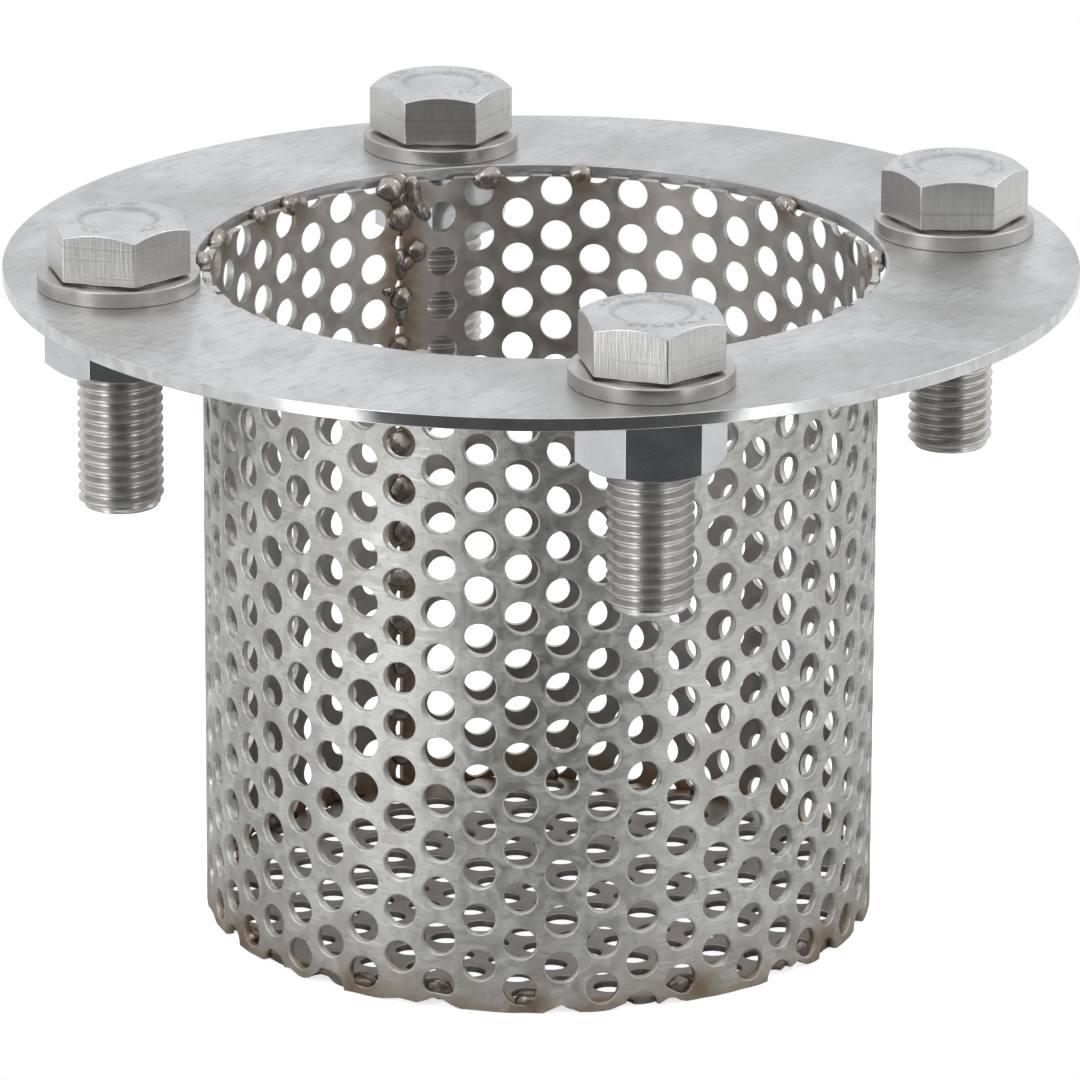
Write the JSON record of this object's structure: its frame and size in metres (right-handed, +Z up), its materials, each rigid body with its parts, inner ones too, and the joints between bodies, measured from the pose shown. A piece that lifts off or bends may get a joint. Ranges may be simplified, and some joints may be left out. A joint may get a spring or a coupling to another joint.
{
  "type": "flanged strainer basket",
  "caption": "Open-topped perforated strainer basket welded into a flat flange ring, with hexagon bolts, flat washers and nuts through the flange.",
  "frame": {"origin": "on the basket's axis, at the level of its lower rim, where it stands", "axes": "+Z up along the basket's axis towards the flange ring; -Y towards the front bolt, +X towards the right bolt"},
  "size_m": [0.2, 0.2, 0.139],
  "materials": {
    "ring_steel": "satin stainless sheet, fine brush lines and handling smudges",
    "basket_steel": "mill-finish stainless perforated sheet, slightly mottled",
    "weld_steel": "unbrushed stainless weld with brown and blue heat tint",
    "bolt_steel": "stainless bolt, brushed flats and bright rolled thread",
    "washer_steel": "smooth bright stainless washer",
    "nut_steel": "bright, nearly polished stainless nut"
  },
  "bodies": {
    "strainer": {"flange_ring": "ring_steel", "basket_shell": "basket_steel", "basket_floor": "basket_steel", "shell_seam_weld": "weld_steel", "flange_tack_welds": "weld_steel", "floor_tack_welds": "weld_steel"},
    "front_bolt": {"front_bolt": "bolt_steel"},
    "front_washer": {"front_washer": "washer_steel"},
    "front_nut": {"front_nut": "nut_steel"},
    "right_bolt": {"right_bolt": "bolt_steel"},
    "right_washer": {"right_washer": "washer_steel"},
    "right_nut": {"right_nut": "nut_steel"},
    "back_bolt": {"back_bolt": "bolt_steel"},
    "back_washer": {"back_washer": "washer_steel"},
    "back_nut": {"back_nut": "nut_steel"},
    "left_bolt": {"left_bolt": "bolt_steel"},
    "left_washer": {"left_washer": "washer_steel"},
    "left_nut": {"left_nut": "nut_steel"}
  },
  "joints": [
    {"name": "front_bolt_turn", "type": "hinge", "parent": "strainer", "child": "front_bolt", "pos_m": [0, -0.08, 0.139], "axis": [0, 0, 1], "range_deg": [0, 4320]},
    {"name": "front_nut_travel", "type": "slide", "parent": "strainer", "child": "front_nut", "axis": [0, 0, -1], "range_m": [0, 0.0245]},
    {"name": "front_washer_turn", "type": "hinge", "parent": "strainer", "child": "front_washer", "pos_m": [0, -0.08, 0.1275], "axis": [0, 0, 1], "continuous": true},
    {"name": "right_bolt_turn", "type": "hinge", "parent": "strainer", "child": "right_bolt", "pos_m": [0.08, 0, 0.139], "axis": [0, 0, 1], "range_deg": [0, 4320]},
    {"name": "right_nut_travel", "type": "slide", "parent": "strainer", "child": "right_nut", "axis": [0, 0, -1], "range_m": [0, 0.0245]},
    {"name": "right_washer_turn", "type": "hinge", "parent": "strainer", "child": "right_washer", "pos_m": [0.08, 0, 0.1275], "axis": [0, 0, 1], "continuous": true},
    {"name": "back_bolt_turn", "type": "hinge", "parent": "strainer", "child": "back_bolt", "pos_m": [0, 0.08, 0.139], "axis": [0, 0, 1], "range_deg": [0, 4320]},
    {"name": "back_nut_travel", "type": "slide", "parent": "strainer", "child": "back_nut", "axis": [0, 0, -1], "range_m": [0, 0.0245]},
    {"name": "back_washer_turn", "type": "hinge", "parent": "strainer", "child": "back_washer", "pos_m": [0, 0.08, 0.1275], "axis": [0, 0, 1], "continuous": true},
    {"name": "left_bolt_turn", "type": "hinge", "parent": "strainer", "child": "left_bolt", "pos_m": [-0.08, 0, 0.139], "axis": [0, 0, 1], "range_deg": [0, 4320]},
    {"name": "left_nut_travel", "type": "slide", "parent": "strainer", "child": "left_nut", "axis": [0, 0, -1], "range_m": [0, 0.0245]},
    {"name": "left_washer_turn", "type": "hinge", "parent": "strainer", "child": "left_washer", "pos_m": [-0.08, 0, 0.1275], "axis": [0, 0, 1], "continuous": true}
  ],
  "couplings": [
    {"joint": "front_nut_travel", "follows": "front_bolt_turn", "m_per_rad": 0.00031831},
    {"joint": "right_nut_travel", "follows": "right_bolt_turn", "m_per_rad": 0.00031831},
    {"joint": "back_nut_travel", "follows": "back_bolt_turn", "m_per_rad": 0.00031831},
    {"joint": "left_nut_travel", "follows": "left_bolt_turn", "m_per_rad": 0.00031831}
  ]
}
